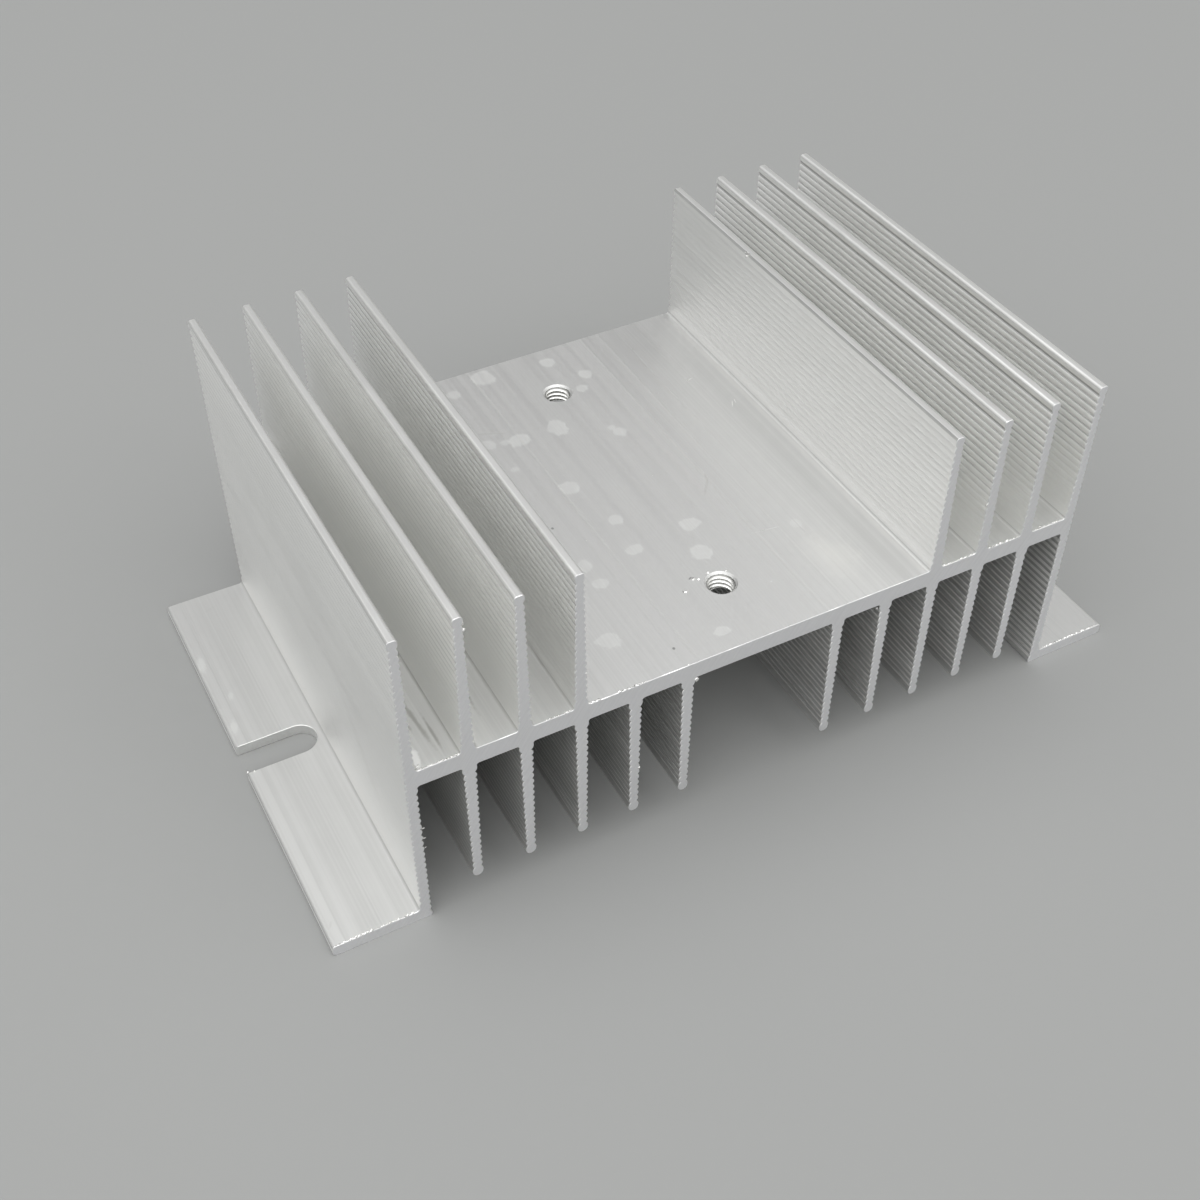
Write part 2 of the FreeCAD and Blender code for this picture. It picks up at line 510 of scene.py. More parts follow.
bayLayers = [
    (scuffTone, 0.5, 0.0, 0.8, 0.08, [((-45.3, -27.0, 28.1), (0, 0, 94), (8.0, 0.45, 1.2)),
                                      ((-46.4, -25.0, 28.1), (0, 0, 91), (6.0, 0.3, 1.2)),
                                      ((-44.2, -30.0, 28.1), (0, 0, 90), (4.0, 0.3, 1.2)),
                                      ((-38.0, -24.5, 28.1), (0, 0, 90), (7.0, 0.3, 1.2))]),
    (scratchAndHighlightTone, 0.7, 0.1, 0.5, -0.1, [((-47.6, -33.2, 28.1), (0, 0, 80), (1.8, 0.6, 1.2))]),
]

innerFinLayers = [
    (nickTone, 0.9, 0.0, 0.4, 0.1, [((-27.3, -2.9, 45.5), (0, 0, 0), (0.6, 0.24, 0.24)),
                                    ((-27.4, -24.0, 40.1), (0, 0, 0), (0.6, 0.14, 0.14))]),
]

dieSurfaces = {
    # material's name: what differs from the plain finish
    "extrudedAluminium": {},
    # painted shade: the web, feet, bay floors and tips take darker copies of the plain tones, standing in for
    # the fall of light on them; their streaks, marks and mottling are the metal's own
    "webAluminium": {"streaks": webStreaks, "layers": webLayers, "darkTone": (0.625, 0.627, 0.62),
                     "lightTone": (0.73, 0.732, 0.723), "bandShare": 0.36, "lineShare": 0.50},
    "footAluminium": {"streaks": footStreaks, "layers": footLayers, "darkTone": (0.60, 0.602, 0.593),
                      "lightTone": (0.70, 0.702, 0.692)},
    "wallAluminium": {"layers": wallLayers},
    "bayAluminium": {"layers": bayLayers, "darkTone": (0.67, 0.672, 0.663),
                     "lightTone": (0.79, 0.792, 0.78)},
    "tipAluminium": {"darkTone": (0.62, 0.62, 0.61), "lightTone": (0.89, 0.892, 0.88), "bandShare": 0.1,
                     "lineShare": 0.15, "cloudShare": 0.75},
    # painted shade: the inner fins' left faces take darker copies of the plain finish; the inner left fin
    # also has nicks
    "innerFinShadeAndNicksAluminium": {"layers": innerFinLayers, "shade": 0.94},
    "rightFinShadeAluminium": {"shade": 0.93},
    # painted shade in the ribs' grooves, darker towards the fins' tips
    "grooveShadeAluminium": {"upperShade": 0.76},
    "darkGrooveShadeAluminium": {"upperShade": 0.58},
    "faintGrooveShadeAluminium": {"upperShade": 0.9},
    # painted shade on the fins under the web
    "underShadeAluminium": {"shade": 0.68},
}


def shaded(tone, share):
    return [value * share for value in tone]


def mixedColor(tree, mask, color, tone):
    # a colour that turns into a tone where the mask says
    made = tree.nodes.new("ShaderNodeMix")
    made.data_type = "RGBA"
    link(tree, mask, made.inputs["Factor"])
    link(tree, color, made.inputs[6])
    made.inputs[7].default_value = (*tone, 1)
    return made.outputs[2]


streakSettings = {
    "core": 0.45,  # share of a line's half width over which it has its full strength
    "stretch": (0.5, 1, 0.5),
    "noise": (45, 1),  # scale and detail
    "fade": (0.35, 0.65, 0.9, 2.0),  # range of the noise, then of its factor on the lines
}


def streakRamp(tree, across, start, end, lines):
    # a ramp across one stretch, middle grey where no line runs
    made = tree.nodes.new("ShaderNodeValToRGB")
    link(tree, rangeNode(tree, across, start * mm, end * mm), made.inputs["Fac"])
    for stop in made.color_ramp.elements:
        stop.color = (0.5, 0.5, 0.5, 1)
    core = streakSettings["core"]
    stops = set()
    for centre, half, strength in lines:
        stops.update((centre - half, centre - core * half, centre + core * half, centre + half))
    for x in sorted(stops):
        total = sum(strength * min(1.0, max(0.0, (1 - abs(x - centre) / half) / (1 - core)))
                    for centre, half, strength in lines)
        stop = made.color_ramp.elements.new((x - start) / (end - start))
        stop.color = [0.5 + total / 2] * 3 + [1]
    return mathNode(tree, "SUBTRACT", made.outputs["Color"], 0.5)


def streakTone(tree, place, stretches):
    # lines that fade a little along their length
    parts = tree.nodes.new("ShaderNodeSeparateXYZ")
    link(tree, place, parts.inputs["Vector"])
    total = None
    for start, end, lines in stretches:
        ramp = streakRamp(tree, parts.outputs["X"], start, end, lines)
        total = ramp if total is None else mathNode(tree, "ADD", total, ramp)
    drawnOut = mappingNode(tree, place, streakSettings["stretch"])
    unevenness = noiseNode(tree, drawnOut, *streakSettings["noise"])
    fade = rangeNode(tree, unevenness, *streakSettings["fade"])
    return mathNode(tree, "MULTIPLY", total, fade)


def blotFrom(tree, place, marks, softness):
    # the area that a list of marks covers together
    least = None
    for centre, turn, size in marks:
        mark = placeGroup(tree, markGroup, place)
        mark.inputs["Centre"].default_value = [value * mm for value in centre]
        mark.inputs["Turn"].default_value = [math.radians(value) for value in turn]
        mark.inputs["Size"].default_value = [value * mm for value in size]
        share = mark.outputs["Share"]
        least = share if least is None else mathNode(tree, "MINIMUM", least, share)
    blot = placeGroup(tree, blotGroup, place)
    link(tree, least, blot.inputs["Share"])
    blot.inputs["Softness"].default_value = softness
    return blot.outputs["Mask"], blot.outputs["Rim"]


def dieMaterial(name, surface):
    finish = {**dieFinish, **surface}
    material, tree, shader, place = newFinish(name)
    streaks = placeGroup(tree, streaksGroup, place)
    cloud = placeGroup(tree, cloudGroup, place)
    band = mathNode(tree, "MULTIPLY", streaks.outputs["Band"], finish["bandShare"])
    line = mathNode(tree, "MULTIPLY", streaks.outputs["Line"], finish["lineShare"])
    blotch = mathNode(tree, "MULTIPLY", cloud.outputs["Cloud"], finish["cloudShare"])
    tone = mathNode(tree, "ADD", mathNode(tree, "ADD", band, line), blotch, clamp=True)
    height = streaks.outputs["Height"]
    if finish["streaks"]:
        lines = streakTone(tree, place, finish["streaks"])
        tone = mathNode(tree, "ADD", tone, lines, clamp=True)
        height = mathNode(tree, "ADD", height, lines)
    color = greyFrom(tree, tone, shaded(finish["darkTone"], finish["shade"]),
                     shaded(finish["lightTone"], finish["shade"]))
    # painted shade that darkens the colour towards the fins' tips
    if finish["upperShade"]:
        parts = tree.nodes.new("ShaderNodeSeparateXYZ")
        link(tree, place, parts.inputs["Vector"])
        upper = rangeNode(tree, parts.outputs["Z"], *finish["upperRange"], smooth=True)
        color = mixedColor(tree, upper, color, shaded(finish["lightTone"], finish["upperShade"]))
    smoothest, roughest = finish["roughness"]
    rough = rangeNode(tree, tone, 0.1, 0.9, roughest, smoothest)
    for layerTone, strength, rimStrength, softness, roughChange, marks in finish["layers"]:
        mask, rim = blotFrom(tree, place, marks, softness)
        share = mathNode(tree, "MULTIPLY", mask, strength)
        if rimStrength:
            share = mathNode(tree, "ADD", share, mathNode(tree, "MULTIPLY", rim, rimStrength))
        color = mixedColor(tree, share, color, layerTone)
        rough = mathNode(tree, "ADD", rough, mathNode(tree, "MULTIPLY", mask, roughChange))
    color = mixedColor(tree, cloud.outputs["Speck"], color, scratchAndHighlightTone)
    link(tree, color, shader.inputs["Base Color"])
    link(tree, rough, shader.inputs["Roughness"])
    bumpFrom(tree, height, shader, 1.0, finish["bumpDistance"])
    return material


# Finish of the sawn ends, with the saw's fine slanting marks

sawFinish = {
    "darkTone": (0.83, 0.83, 0.845),
    "lightTone": (0.90, 0.90, 0.91),
    "slant": 58,
    "fineStretch": (0.05, 1, 1),
    "fineNoise": (2600, 3, 0.6),  # scale, detail and roughness
    "fineShare": 0.6,
    "broadStretch": (0.3, 1, 1),
    "broadNoise": (260, 2, 0.5),
    "broadShare": 0.4,
    "range": (0.35, 0.65),
    "roughness": (0.58, 0.48),  # where the tone is dark and where it is light
    "bumpDistance": 0.007 * mm,
}


def sawMaterial():
    material, tree, shader, place = newFinish("sawnAluminium")
    turned = mappingNode(tree, place, (1, 1, 1), (0, math.radians(sawFinish["slant"]), 0))
    fine = noiseNode(tree, mappingNode(tree, turned, sawFinish["fineStretch"]), *sawFinish["fineNoise"])
    broad = noiseNode(tree, mappingNode(tree, turned, sawFinish["broadStretch"]), *sawFinish["broadNoise"])
    both = mathNode(tree, "ADD", mathNode(tree, "MULTIPLY", fine, sawFinish["fineShare"]),
                    mathNode(tree, "MULTIPLY", broad, sawFinish["broadShare"]))
    tone = rangeNode(tree, both, *sawFinish["range"])
    color = greyFrom(tree, tone, sawFinish["darkTone"], sawFinish["lightTone"])
    link(tree, color, shader.inputs["Base Color"])
    link(tree, rangeNode(tree, tone, 0.0, 1.0, *sawFinish["roughness"]), shader.inputs["Roughness"])
    bumpFrom(tree, fine, shader, 1.0, sawFinish["bumpDistance"])
    return material


# Finish of the milled slots, the threads and the bright burrs

grainFinishes = {
    # noise: scale, detail and roughness; roughness: where the grain is low and where it is high;
    # bump: strength and distance
    "milledAluminium": {"stretch": (1, 1, 0.35), "noise": (1500, 4, 0.7), "darkTone": (0.86, 0.86, 0.85),
                        "lightTone": (0.99, 0.99, 0.98), "roughness": (0.30, 0.5), "bump": (1.0, 0.12 * mm)},
    "burrAluminium": {"stretch": (1, 1, 1), "noise": (3000, 3, 0.6), "darkTone": (0.86, 0.86, 0.84),
                      "lightTone": (0.98, 0.98, 0.96), "roughness": (0.176, 0.286), "bump": (0.6, 0.01 * mm)},
}

brokenEdgeFinish = {
    "noise": (170, 2),  # scale and detail
    "range": (0.52, 0.6),
    "dullTone": (0.80, 0.80, 0.80),
    "brightTone": (0.98, 0.98, 0.97),
    "roughness": (0.6, 0.3),  # where it is dull and where it is bright
}

threadFinish = {
    "radii": (1.68 * mm, 1.92 * mm),  # between which the crest's tone turns into the grooves' painted shade
    "crestTone": (0.98, 0.98, 0.96),
    # painted shade in the thread's grooves
    "grooveShadeTone": (0.3, 0.3, 0.29),
    "noise": (1500, 3, 0.6),  # scale, detail and roughness
    "roughness": (0.2, 0.34),
    "bump": (0.4, 0.01 * mm),  # strength and distance
}


def grainMaterial(name):
    # bare cut or torn metal with one even grain
    finish = grainFinishes[name]
    material, tree, shader, place = newFinish(name)
    grain = noiseNode(tree, mappingNode(tree, place, finish["stretch"]), *finish["noise"])
    color = greyFrom(tree, grain, finish["darkTone"], finish["lightTone"])
    link(tree, color, shader.inputs["Base Color"])
    link(tree, rangeNode(tree, grain, 0.3, 0.7, *finish["roughness"]), shader.inputs["Roughness"])
    bumpFrom(tree, grain, shader, *finish["bump"])
    return material


def brokenEdgeMaterial():
    # the fine arris round a sawn end: bright in some stretches, dull in the rest
    material, tree, shader, place = newFinish("brokenEdgeAluminium")
    unevenness = noiseNode(tree, place, *brokenEdgeFinish["noise"])
    patch = rangeNode(tree, unevenness, *brokenEdgeFinish["range"], smooth=True)
    color = greyFrom(tree, patch, brokenEdgeFinish["dullTone"], brokenEdgeFinish["brightTone"])
    link(tree, color, shader.inputs["Base Color"])
    link(tree, rangeNode(tree, patch, 0.0, 1.0, *brokenEdgeFinish["roughness"]), shader.inputs["Roughness"])
    return material


def threadMaterial():
    # bright crests, with painted shade darkening the grooves between them
    material, tree, shader, place = newFinish("tappedAluminium")
    parts = tree.nodes.new("ShaderNodeSeparateXYZ")
    link(tree, place, parts.inputs["Vector"])
    along = mathNode(tree, "SUBTRACT", mathNode(tree, "ABSOLUTE", parts.outputs["Y"]), screwY)
    square = mathNode(tree, "ADD", mathNode(tree, "MULTIPLY", parts.outputs["X"], parts.outputs["X"]),
                      mathNode(tree, "MULTIPLY", along, along))
    depth = rangeNode(tree, mathNode(tree, "SQRT", square), *threadFinish["radii"], smooth=True)
    color = greyFrom(tree, depth, threadFinish["crestTone"], threadFinish["grooveShadeTone"])
    link(tree, color, shader.inputs["Base Color"])
    grain = noiseNode(tree, place, *threadFinish["noise"])
    link(tree, rangeNode(tree, grain, 0.3, 0.7, *threadFinish["roughness"]), shader.inputs["Roughness"])
    bumpFrom(tree, grain, shader, *threadFinish["bump"])
    return material


surfaces = {name: dieMaterial(name, surface) for name, surface in dieSurfaces.items()}
for made in (sawMaterial(), grainMaterial("milledAluminium"), brokenEdgeMaterial()):
    surfaces[made.name] = made
threadSurface = threadMaterial()
burrSurface = grainMaterial("burrAluminium")
print("finishes are built:", len(surfaces) + 2)


# The extrusion: the frame's own section with rounded ribs, sawn edges and holes ready for their threads

bodySettings = {
    "longEdge": 60 * mm,  # only edges that run the whole length are longer
    "ribFold": math.radians(30),
    "crestRounding": 0.5 * mm,
    "crestSegments": 6,
    "grooveFold": math.radians(45),
    "sawnChamfer": 0.06 * mm,
    "footChamfer": 0.2 * mm,  # under the feet's sawn edges
    "smoothAngle": math.radians(19),
    "boreRadius": 1.65 * mm,
    "boreDrop": 0.6 * mm,  # from the web's face down to the top of the plain bore
    "openRadius": 2.03 * mm,
    "mouthRadius": 2.25 * mm,
    "slotInner": 50.7 * mm,
    "slotHalf": 2.66 * mm,
}

sectionPlaces = {
    # stretches of x
    "leftFinFace": (-28.0 * mm, -27.0 * mm),
    "leftFinGrooves": (-28.0 * mm, -26.9 * mm),
    "rightFinFace": (25.0 * mm, 26.4 * mm),
    # distances of x from the middle
    "channel": 26.0 * mm,
    "rightBays": 30.0 * mm,
    "lowerFins": 48.5 * mm,
    "lowerFolds": 48.9 * mm,
    "insideWalls": 49.0 * mm,
    "wallFaces": 49.6 * mm,
    "outsideWalls": 49.9 * mm,
}

ribWear = [
    # x range, lowest z, z range over which the wear changes, and its share below and above that range
    (-50.5, -49.3, 2.4, 30.0, 44.0, 0.8, 0.25),
    (-49.3, -29.0, 28.6, 34.0, 46.0, 0.6, 0.15),
    (-29.0, -24.0, 28.6, 32.0, 42.0, 0.5, 0.0),
    (24.0, 27.0, 28.6, 30.0, 46.0, 0.88, 0.76),
    (27.0, 50.5, 28.6, 30.0, 38.0, 0.5, 0.0),
]

ribDepths = {
    # how far out the grooves and the crests move; the rounding takes the crests' rise off again
    "underWeb": (-0.12 * mm, 0.17 * mm),
    "aboveWeb": (-0.05 * mm, 0.13 * mm),
    "rightFin": (-0.03 * mm, 0.12 * mm),
}


def within(x, name):
    low, high = sectionPlaces[name]
    return low < x < high


def endFace(face):
    return abs(face.normal.y) > 0.999 and abs(abs(face.calc_center_median().y) - rearY) < 0.01 * mm


def longFold(edge):
    # how far an edge along the whole length is folded, outwards if positive, and 0 for other edges
    run = edge.verts[0].co - edge.verts[1].co
    if abs(run.y) < bodySettings["longEdge"] or len(edge.link_faces) != 2:
        return 0
    return edge.calc_face_angle_signed()


def ribCrest(edge):
    return longFold(edge) > bodySettings["ribFold"]


def ribFoot(edge):
    # the frame's own fold between two ribs
    return longFold(edge) < -bodySettings["ribFold"]


def grooveBottom(edge):
    # the sharper fold that is left when the crests are rounded
    return longFold(edge) < -bodySettings["grooveFold"]


def ribZone(point):
    if point.z < webUnderZ and abs(point.x) < sectionPlaces["lowerFolds"]:
        return "underWeb"
    return "rightFin" if within(point.x, "rightFinFace") else "aboveWeb"


def moveFolds(piece, wanted, row):
    # moves the chosen folds outwards or inwards, and leaves them selected in edit mode
    pickEdges(piece, wanted)
    for edge in bmesh.from_edit_mesh(piece.data).edges:
        side = sum(face.normal.x for face in edge.link_faces)
        if edge.select and abs(side) > 1.6:  # both faces look sideways
            move = ribDepths[ribZone(edge.verts[0].co)][row]
            for vert in edge.verts:
                vert.co.x += math.copysign(1, side) * move


def roundRibs(piece):
    # the frame's zigzag becomes round-backed ribs that meet in sharp, deeper grooves
    moveFolds(piece, ribFoot, 0)
    leaveEdit()
    moveFolds(piece, ribCrest, 1)
    bpy.ops.mesh.bevel(offset=bodySettings["crestRounding"], segments=bodySettings["crestSegments"],
                       affect="EDGES")
    leaveEdit()


def sawnEdge(edge):
    return len(edge.link_faces) == 2 and endFace(edge.link_faces[0]) != endFace(edge.link_faces[1])


def footEdge(edge):
    # the sawn edges along the undersides of the feet
    long = abs(edge.verts[0].co.x - edge.verts[1].co.x) > 5 * mm
    return long and sawnEdge(edge) and all(vert.co.z < 0.01 * mm for vert in edge.verts)


def slotRim(edge):
    # the edges between a foot's flat faces and the slot's wall
    middle = (edge.verts[0].co + edge.verts[1].co) / 2
    if abs(middle.x) < bodySettings["slotInner"] or abs(middle.y) > bodySettings["slotHalf"]:
        return False
    flats = [abs(face.normal.z) > 0.99 for face in edge.link_faces]
    return len(flats) == 2 and flats[0] != flats[1]


def openHole(piece, centreY):
    # widens a tapping hole to the thread's outer size, leaving its chamfered mouth
    bore = bodySettings["boreRadius"]
    wide = bodySettings["openRadius"]

    def onBore(point):
        return math.hypot(point.x, point.y - centreY) < bore + 0.05 * mm

    mouthDepth = bodySettings["mouthRadius"] - wide
    pickVerts(piece, lambda point: onBore(point) and point.z > webUnderZ + 1 * mm)
    bpy.ops.transform.translate(value=(0, 0, bodySettings["boreDrop"] - mouthDepth))
    leaveEdit()
    pickVerts(piece, onBore)
    bpy.ops.transform.resize(value=(wide / bore, wide / bore, 1), center_override=(0, centreY, 0))
    leaveEdit()


def buildExtrusion():
    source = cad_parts[nodeName]
    mesh = source.data.copy()
    mesh.materials.clear()
    piece = bpy.data.objects.new("extrusion", mesh)
    bpy.context.scene.collection.objects.link(piece)
    pickOnly(piece)
    bpy.ops.object.mode_set(mode="EDIT")
    bpy.ops.mesh.select_all(action="SELECT")
    bpy.ops.mesh.customdata_custom_splitnormals_clear()
    bpy.ops.mesh.remove_doubles(threshold=0.001 * mm)
    bpy.ops.mesh.dissolve_limited(angle_limit=math.radians(0.5), delimit={"NORMAL"})
    leaveEdit()
    for centreY in (-screwY, screwY):
        openHole(piece, centreY)
    roundRibs(piece)
    for wanted, chamfer in ((slotRim, "sawnChamfer"), (footEdge, "footChamfer"), (sawnEdge, "sawnChamfer")):
        pickEdges(piece, wanted)
        bpy.ops.mesh.bevel(offset=bodySettings[chamfer], segments=1, affect="EDGES")
        leaveEdit()
    giveSurfaces(piece)
    pickOnly(piece)
    bpy.ops.object.shade_smooth_by_angle(angle=bodySettings["smoothAngle"])
    piece.modifiers.new("evenShading", "WEIGHTED_NORMAL").keep_sharp = True
    bpy.ops.object.modifier_apply(modifier="evenShading")
    softenRibs(piece.data)
    return piece


def wearAt(point):
    # how far the ribs at a place are worn flat, from 0 to 1, or None outside the worn stretches
    for lowX, highX, lowest, lowZ, highZ, lowShare, highShare in ribWear:
        if lowX * mm < point.x < highX * mm and point.z > lowest * mm:
            rise = min(1.0, max(0.0, (point.z / mm - lowZ) / (highZ - lowZ)))
            return lowShare + (highShare - lowShare) * rise
    return None


def softenRibs(mesh):
    # where the left-facing ribs are worn, their shading leans towards that of a plain face
    plain = Vector((-1, 0, 0))
    normals = [Vector(corner.vector) for corner in mesh.corner_normals]
    for face in mesh.polygons:
        if face.normal.x > -0.4 or abs(face.normal.y) > 0.3:
            continue
        share = wearAt(face.center)
        if share is not None:
            for corner in face.loop_indices:
                normals[corner] = normals[corner].lerp(plain, share).normalized()
    mesh.normals_split_custom_set(normals)


def giveSurfaces(piece):
    names = list(surfaces)
    for name in names:
        piece.data.materials.append(surfaces[name])
    for face in piece.data.polygons:
        face.material_index = names.index(surfaceOf(face))
    # the faces beside each groove's bottom get the painted groove shade
    pickEdges(piece, grooveBottom)
    for edge in bmesh.from_edit_mesh(piece.data).edges:
        if edge.select:
            name = grooveName(edge.verts[0].co)
            for face in edge.link_faces:
                face.material_index = names.index(name)
    leaveEdit()


def grooveName(point):
    # painted shade in the grooves, darkest on the inner left fin and in the bays on the right
    if within(point.x, "rightFinFace"):
        return "faintGrooveShadeAluminium"
    if within(point.x, "leftFinGrooves") or point.x > sectionPlaces["rightBays"]:
        return "darkGrooveShadeAluminium"
    return "grooveShadeAluminium"


def surfaceOf(face):
    # picks a face's finish by its place and by the way it looks
    x, y, z = face.center
    normal = face.normal
    if abs(normal.y) > 0.999 and abs(abs(y) - rearY) < 0.01 * mm:
        return "sawnAluminium"
    if abs(y) > rearY - bodySettings["sawnChamfer"] and abs(normal.y) > 0.3:
        return "brokenEdgeAluminium"
    inSlot = abs(x) > bodySettings["slotInner"] and abs(y) < bodySettings["slotHalf"] + 0.05 * mm
    if inSlot and abs(normal.z) < 0.9 and z < footTopZ:
        return "milledAluminium"
    looksUp = normal.z > 0.15
    # the web, bay floors, feet and tips get finishes whose darker tones are painted shade
    if looksUp and abs(x) < sectionPlaces["insideWalls"] and webTopZ - 0.2 * mm < z < webTopZ + 0.4 * mm:
        return "webAluminium" if abs(x) < sectionPlaces["channel"] else "bayAluminium"
    if looksUp and abs(x) > sectionPlaces["outsideWalls"] and abs(z - footTopZ) < 0.5 * mm:
        return "footAluminium"
    if z > tipZ - 0.5 * mm and normal.z > 0.2:
        return "tipAluminium"
    # painted shade on the faces under the web
    if z < webUnderZ + 0.1 * mm and abs(x) < sectionPlaces["lowerFins"]:
        return "underShadeAluminium"
    looksLeft = normal.x < -0.3
    if looksLeft and x < -sectionPlaces["wallFaces"]:
        return "wallAluminium"
    # painted shade on the inner fins' left faces
    if looksLeft and within(x, "leftFinFace"):
        return "innerFinShadeAndNicksAluminium"
    if looksLeft and within(x, "rightFinFace"):
        return "rightFinShadeAluminium"
    return "extrudedAluminium"


extrusion = buildExtrusion()
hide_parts(nodeName)
finishPiece(extrusion, "extrusion")
print("extrusion:", len(extrusion.data.vertices), "corners,", len(extrusion.data.polygons), "faces")


# M4 threads, each a sleeve that lines its hole

threadSettings = {
    "pitch": 0.7 * mm,
    "crestRadius": 1.64 * mm,
    "rootRadius": 2.0 * mm,
    "outerRadius": 2.05 * mm,
    "crestFlat": 0.12,  # share of the pitch's half that stays at the crest
    "flankSlope": 1.25,
    "endGap": 0.01 * mm,  # kept from both faces of the web
    "rings": 64,
    "around": 72,
}


def threadRadius(height, angle):
    # radius of the V thread at a place, with a small flat at the crest and at the root
    turn = height / threadSettings["pitch"] - angle / (2 * math.pi)
    ramp = abs((turn % 1.0) * 2 - 1)
    ramp = min(1.0, max(0.0, (ramp - threadSettings["crestFlat"]) * threadSettings["flankSlope"]))
    crest = threadSettings["crestRadius"]
    return crest + (threadSettings["rootRadius"] - crest) * ramp


def rimEdge(edge, level):
    return len(edge.link_faces) == 1 and all(abs(vert.co.z - level) < 0.005 * mm for vert in edge.verts)


def buildThread(name, centreY):
    # an open tube takes the thread's shape, then gets flat ends and a plain outside
    lowZ = webUnderZ + threadSettings["endGap"]
    highZ = webTopZ - (bodySettings["mouthRadius"] - bodySettings["openRadius"]) - threadSettings["endGap"]
    depth = highZ - lowZ
    bpy.ops.object.select_all(action="DESELECT")
    bpy.ops.mesh.primitive_cylinder_add(
        vertices=threadSettings["around"], radius=threadSettings["crestRadius"], depth=depth,
        end_fill_type="NOTHING", location=(0, centreY, lowZ + depth / 2))
    sleeve = bpy.context.object
    settle(sleeve)
    pickEdges(sleeve, lambda edge: abs(edge.verts[0].co.z - edge.verts[1].co.z) > depth / 2)
    bpy.ops.mesh.subdivide(number_cuts=threadSettings["rings"])
    leaveEdit()
    for vert in sleeve.data.vertices:
        angle = math.atan2(vert.co.y - centreY, vert.co.x)
        mouth = bodySettings["openRadius"] - (highZ - vert.co.z)
        radius = max(threadRadius(vert.co.z - lowZ, angle), mouth)
        vert.co.x = radius * math.cos(angle)
        vert.co.y = centreY + radius * math.sin(angle)
    for level in (lowZ, highZ):
        pickEdges(sleeve, lambda edge: rimEdge(edge, level))
        bpy.ops.mesh.extrude_edges_move()
        leaveEdit()
        for vert in sleeve.data.vertices:
            if vert.select:
                away = Vector((vert.co.x, vert.co.y - centreY, 0)).normalized()
                away *= threadSettings["outerRadius"]
                vert.co = Vector((away.x, centreY + away.y, level))
    pickEdges(sleeve, lambda edge: len(edge.link_faces) == 1)
    bpy.ops.mesh.bridge_edge_loops()
    bpy.ops.mesh.select_all(action="SELECT")
    bpy.ops.mesh.normals_make_consistent(inside=False)
    leaveEdit()
    bpy.ops.object.shade_smooth_by_angle(angle=math.radians(50))
    sleeve.data.materials.append(threadSurface)
    finishPiece(sleeve, name)


buildThread("threadFront", -screwY)
buildThread("threadRear", screwY)
print("threads are cut")


# Burrs that the saw and the tap left: bright ragged runs along edges, and single flakes

burrSettings = {
    "seed": 11,
    "height": 0.55,  # share of a flake's width
    "raggedness": 0.3,
    "length": (0.9, 1.5),  # range of stretch along an edge
    "thickness": (0.7, 1.2),
    "roll": (0, 6.28),  # turns in radians
    "swing": (-0.5, 0.5),
    "runStep": 0.34,  # mm between the flakes of a run
    "runShift": (-0.4, 0.4),  # share of a step
    "runSize": (0.09, 0.2),  # mm, half the width of a flake
    "margin": 0.006 * mm,  # kept from the part's own box
}

burrRuns = [
    # start and end of a run in mm
    ((-47.8, -34.86, 28.1), (-42.8, -34.86, 28.1)), ((-31.2, -34.88, 28.1), (-27.4, -34.88, 28.1)),
    ((-25.4, -34.9, 28.1), (-24.0, -34.9, 28.1)), ((-21.2, -34.92, 28.1), (-17.6, -34.92, 28.1)),
    ((27.7, -34.88, 28.1), (33.2, -34.88, 28.1)), ((35.7, -34.88, 28.1), (41.0, -34.88, 28.1)),
    ((43.4, -34.84, 28.1), (48.5, -34.84, 28.1)), ((51.0, -34.86, 1.8), (61.4, -34.86, 1.8)),
    ((-61.4, -34.9, 1.8), (-51.0, -34.9, 1.8)), ((-48.35, -34.9, 28.6), (-47.7, -34.2, 28.1)),
]

burrFlakes = [
    # place and half width in mm
    ((-25.88, -34.9, 33.61), 0.22), ((-10.11, -34.9, 24.84), 0.3), ((-18.25, -34.9, 12.3), 0.2),
    ((-41.1, -34.85, 48.82), 0.3), ((-41.05, -34.85, 47.8), 0.24), ((50.0, -34.85, 46.81), 0.34),
    ((33.61, -34.9, 46.17), 0.2), ((33.41, -34.9, 36.52), 0.18), ((44.15, -34.9, 28.38), 0.22),
    ((49.97, -34.9, 16.22), 0.24), ((17.5, -34.9, 24.87), 0.2), ((-55.19, -34.9, 0.3), 0.2),
    ((-48.3, -34.9, 17.49), 0.17), ((-48.25, -34.9, 15.6), 0.16), ((-48.25, -34.9, 13.75), 0.15),
    ((-2.92, -21.49, 28.1), 0.26), ((-0.57, -21.41, 28.1), 0.2), ((-5.0, -23.23, 28.1), 0.2),
    ((-2.3, -21.9, 28.1), 0.18), ((1.75, -22.2, 28.1), 0.16), ((25.92, 13.86, 49.9), 0.3),
    ((26.0, 14.6, 49.9), 0.22), ((-61.9, -2.5, 1.8), 0.2), ((-60.98, -2.75, 1.8), 0.16),
    ((12.2, -34.9, 28.1), 0.12), ((3.6, -34.9, 28.1), 0.12), ((-11.4, -34.9, 28.1), 0.1),
]


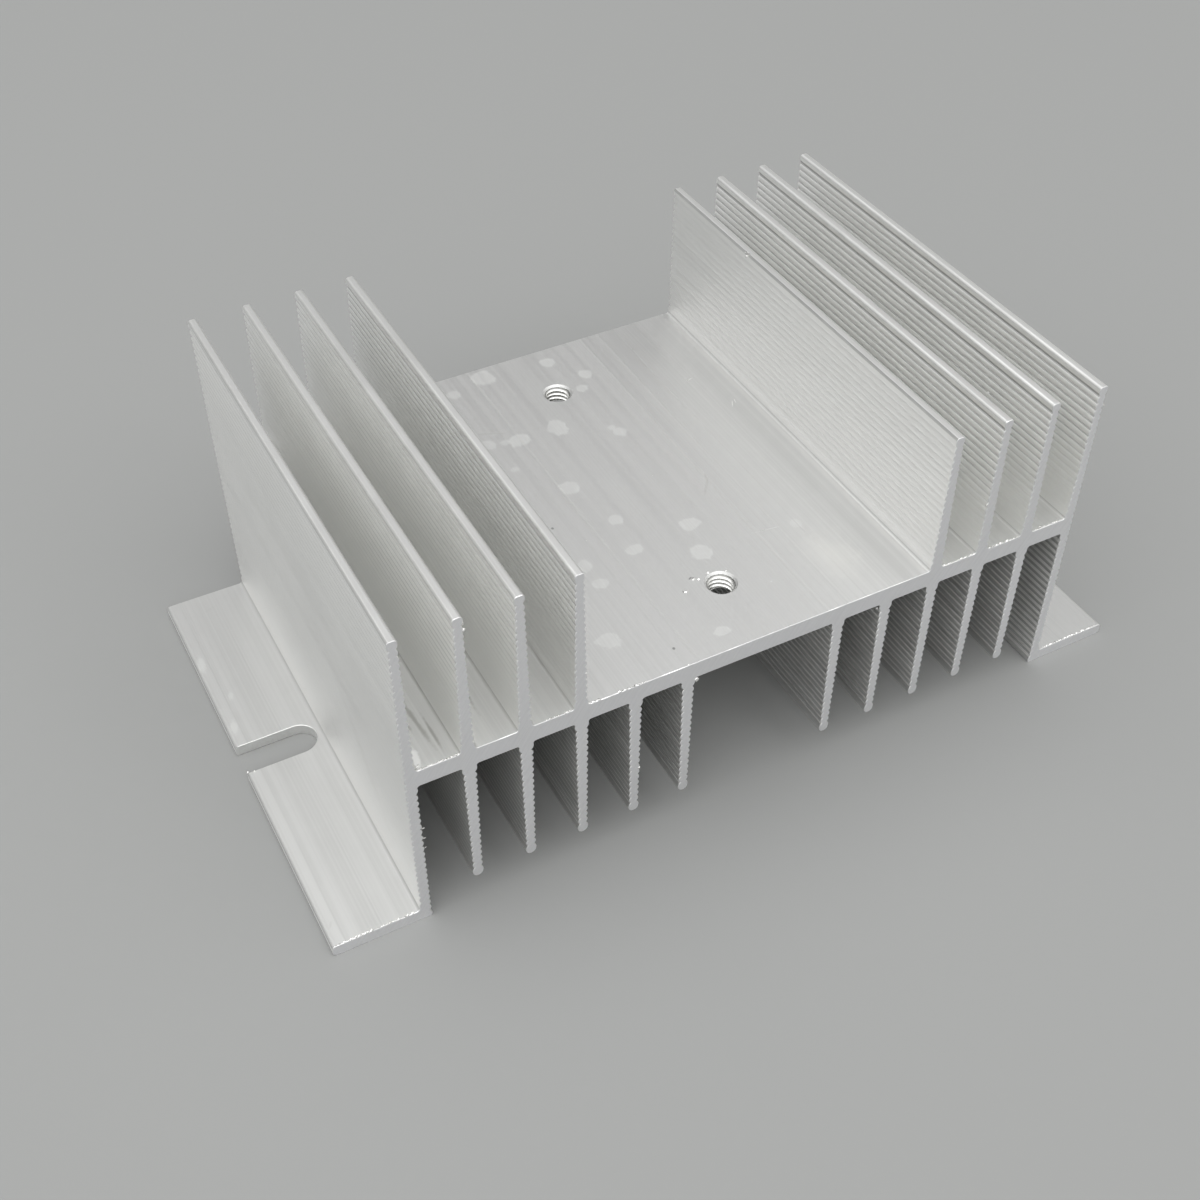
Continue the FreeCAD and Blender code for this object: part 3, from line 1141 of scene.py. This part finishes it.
def makeFlake():
    bpy.ops.object.select_all(action="DESELECT")
    bpy.ops.mesh.primitive_ico_sphere_add(subdivisions=2, radius=1 * mm, location=(0, 0, 0))
    flake = bpy.context.object
    pickVerts(flake, lambda point: True)
    bpy.ops.transform.resize(value=(1, 1, burrSettings["height"]))
    bpy.ops.transform.vertex_random(offset=burrSettings["raggedness"] * mm, seed=burrSettings["seed"])
    leaveEdit()
    return flake


def copyFlake(flake, place, size, chance):
    # a copy with its own mesh, turned and stretched by chance
    copy = bpy.data.objects.new("burr", flake.data.copy())
    bpy.context.scene.collection.objects.link(copy)
    length, thickness, roll, swing = (chance.uniform(*burrSettings[name])
                                      for name in ("length", "thickness", "roll", "swing"))
    stretch = Matrix.Diagonal((size * length, size, size * thickness, 1))
    turn = Matrix.Rotation(roll, 4, "X") @ Matrix.Rotation(swing, 4, "Z")
    copy.data.transform(Matrix.Translation([value * mm for value in place]) @ turn @ stretch)
    return copy


def buildBurrs():
    chance = random.Random(burrSettings["seed"])
    flake = makeFlake()
    copies = [copyFlake(flake, place, size, chance) for place, size in burrFlakes]
    for start, end in burrRuns:
        start, end = Vector(start), Vector(end)
        steps = round((end - start).length / burrSettings["runStep"])
        for step in range(steps + 1):
            along = (step + chance.uniform(*burrSettings["runShift"])) / steps
            place = start.lerp(end, min(1, max(0, along)))
            copies.append(copyFlake(flake, place, chance.uniform(*burrSettings["runSize"]), chance))
    bpy.data.objects.remove(flake)
    bpy.ops.object.select_all(action="DESELECT")
    for copy in copies:
        copy.select_set(True)
    bpy.context.view_layer.objects.active = copies[0]
    bpy.ops.object.join()
    piece = bpy.context.object
    margin = burrSettings["margin"]
    for vert in piece.data.vertices:
        vert.co.y = max(vert.co.y, frontY + margin)
        vert.co.z = min(max(vert.co.z, lowCorner.z + margin), tipZ - margin)
        vert.co.x = min(max(vert.co.x, lowCorner.x + margin), highCorner.x - margin)
    pickOnly(piece)
    bpy.ops.object.shade_smooth_by_angle(angle=math.radians(30))
    piece.data.materials.append(burrSurface)
    finishPiece(piece, "burrs")
    print("burrs:", len(copies), "flakes,", len(piece.data.polygons), "faces")


buildBurrs()
